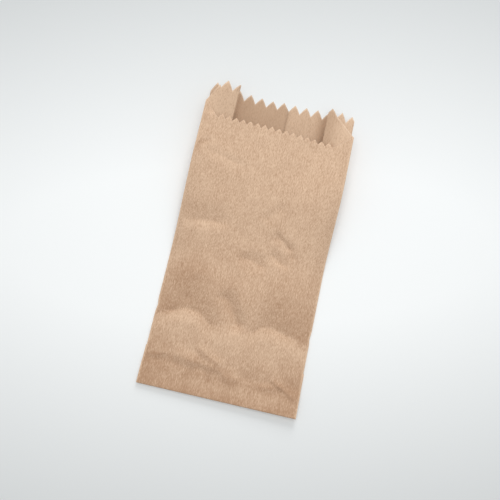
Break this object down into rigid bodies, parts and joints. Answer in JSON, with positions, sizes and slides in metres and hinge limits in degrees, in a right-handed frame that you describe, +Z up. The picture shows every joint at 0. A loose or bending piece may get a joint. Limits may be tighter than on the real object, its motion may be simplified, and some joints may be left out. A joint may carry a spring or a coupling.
{
  "type": "flat paper bag",
  "caption": "Flat gusseted kraft paper bag, lying down, its toothed mouth a little open and its bottom folded over and pasted.",
  "frame": {"origin": "middle of the footprint, on the surface the bag lies on", "axes": "+Y from the pasted bottom to the mouth, +X across the bag, +Z up through the front panel"},
  "size_m": [0.1, 0.2004, 0.0153],
  "materials": {
    "kraft_paper": "matte uncoated brown kraft"
  },
  "bodies": {
    "root": {"paper_bag": "kraft_paper"}
  },
  "joints": []
}
